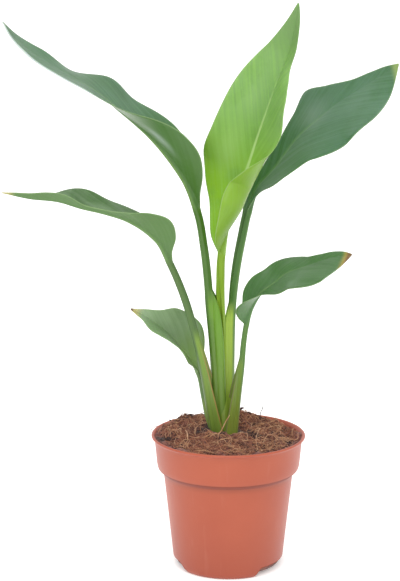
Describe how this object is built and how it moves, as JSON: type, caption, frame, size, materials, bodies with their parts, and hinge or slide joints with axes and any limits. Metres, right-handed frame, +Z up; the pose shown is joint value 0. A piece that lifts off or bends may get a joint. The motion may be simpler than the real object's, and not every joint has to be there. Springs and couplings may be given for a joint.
{
  "type": "potted bird of paradise",
  "caption": "Young potted bird of paradise: arching paddle leaves on long sheathed stalks, in coir potting mix in a thin-walled terracotta-coloured nursery pot.",
  "frame": {"origin": "centre of the pot's underside, on the ground", "axes": "+Z up along the pot's axis; the front, which the picture shows, faces -Y; the long leaves lean to -X and the broad one to +X"},
  "size_m": [0.2958, 0.1203, 0.4373],
  "materials": {
    "pot_plastic": "satin",
    "coir_mix": "matte",
    "young_leaf": "satin",
    "leaf": "satin"
  },
  "bodies": {
    "root": {"pot": "pot_plastic", "potting_mix": "coir_mix", "leaf_centre": "young_leaf", "leaf_upper_left": "leaf", "leaf_upper_right": "leaf", "leaf_mid_left": "leaf", "leaf_lower_right": "leaf", "leaf_lower_left": "leaf"}
  },
  "joints": []
}
